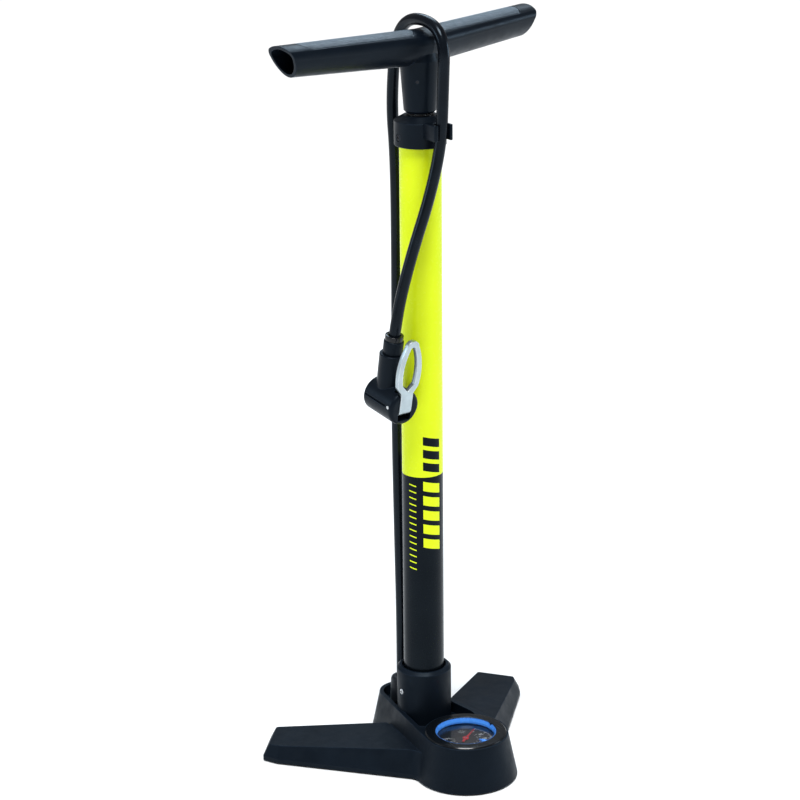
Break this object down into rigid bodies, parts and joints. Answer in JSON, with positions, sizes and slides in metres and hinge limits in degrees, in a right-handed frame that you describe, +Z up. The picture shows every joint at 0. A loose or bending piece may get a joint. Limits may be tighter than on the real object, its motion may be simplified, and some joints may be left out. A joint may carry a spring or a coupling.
{
  "type": "floor bicycle pump",
  "caption": "Upright floor pump with a sliding cross handle, painted barrel, swept feet, round pressure gauge and a hose with a loop-lever pump head.",
  "frame": {"origin": "on the floor on the barrel's axis, at the underside of the middle pad", "axes": "+Z up along the barrel, -Y towards the gauge (the front), +X and -X towards the two swept feet"},
  "size_m": [0.2732, 0.1913, 0.6468],
  "materials": {
    "base_plastic": "fine moulded texture, satin",
    "cap_plastic": "satin moulded plastic",
    "rubber": "matte rubber",
    "barrel_paint": "gloss yellow paint above gloss black paint",
    "steel": "bright zinc plated",
    "chrome": "polished",
    "brass": "turned",
    "inner_plastic": "natural moulded plastic",
    "hose_rubber": "smooth, slightly glossy",
    "handle_plastic": "satin moulded plastic",
    "grip_rubber": "fine grained soft rubber",
    "gauge_black": "gloss black",
    "dial_face": "matte black with white scale",
    "lens": "clear",
    "marker_blue": "bright blue",
    "needle_red": "red",
    "lever_alloy": "satin cast alloy",
    "seal_rubber": "oiled rubber"
  },
  "bodies": {
    "pump": {"base_moulding": "base_plastic", "base_plate": "base_plastic", "base_plate_screws": "steel", "foot_pad_right": "rubber", "foot_pad_left": "rubber", "foot_pad_front": "rubber", "foot_pad_middle": "rubber", "tower_screw": "steel", "barrel": "barrel_paint", "barrel_gasket": "seal_rubber", "valve_seat": "brass", "valve_spring": "steel", "valve_cage": "inner_plastic", "air_manifold": "inner_plastic", "hose_barb": "brass", "strain_relief": "rubber", "gauge_case": "gauge_black", "gauge_inlet": "brass", "bourdon_tube": "brass", "gauge_movement": "brass", "gauge_dial": "dial_face", "gauge_lens": "lens", "gauge_bezel": "gauge_black", "top_cap": "cap_plastic", "cap_screw": "steel", "rod_bushing": "gauge_black", "top_bumper": "rubber", "hose_clip": "cap_plastic", "head_body": "cap_plastic", "head_valve_ring": "gauge_black", "head_seal": "seal_rubber", "head_nut": "cap_plastic", "crimp_ring": "gauge_black", "lever_pin": "steel", "hose_rear": "hose_rubber", "hose_front": "hose_rubber"},
    "plunger": {"piston_rod": "chrome", "piston_head": "inner_plastic", "piston_seal": "seal_rubber", "piston_washer": "steel", "piston_nut": "steel", "handle_body": "handle_plastic", "grip_pad_right": "grip_rubber", "grip_pad_left": "grip_rubber", "neck_pin": "steel", "hose_loop": "hose_rubber"},
    "needle": {"gauge_needle": "needle_red", "needle_arbor": "steel"},
    "marker": {"marker_ring": "marker_blue"},
    "check_valve": {"valve_disc": "inner_plastic"},
    "lever": {"lever": "lever_alloy"},
    "seal_sleeve": {"head_plunger": "inner_plastic"}
  },
  "joints": [
    {"name": "plunger_slide", "type": "slide", "parent": "pump", "child": "plunger", "axis": [0, 0, 1], "range_m": [0, 0.44]},
    {"name": "needle_turn", "type": "hinge", "parent": "pump", "child": "needle", "pos_m": [0, -0.066, 0.0315], "axis": [0, 0, -1], "range_deg": [0, 250], "stiffness_Nm_per_rad": 0.0005, "springref_deg": -11.46},
    {"name": "marker_turn", "type": "hinge", "parent": "pump", "child": "marker", "pos_m": [0, -0.066, 0.038], "axis": [0, 0, -1], "continuous": true},
    {"name": "check_valve_lift", "type": "slide", "parent": "pump", "child": "check_valve", "axis": [0, 0, -1], "range_m": [0, 0.002], "stiffness_N_per_m": 250, "springref_m": -0.001, "deforming": ["valve_spring"]},
    {"name": "lever_swing", "type": "hinge", "parent": "pump", "child": "lever", "pos_m": [-0.03757, -0.02725, 0.33064], "axis": [0.9933, 0.115, -0.0089], "range_deg": [0, 90]},
    {"name": "seal_sleeve_slide", "type": "slide", "parent": "pump", "child": "seal_sleeve", "axis": [-0.1119, 0.9792, 0.1693], "range_m": [0, 0.003]}
  ],
  "couplings": [
    {"joint": "seal_sleeve_slide", "follows": "lever_swing", "m_per_rad": 0.0019}
  ]
}
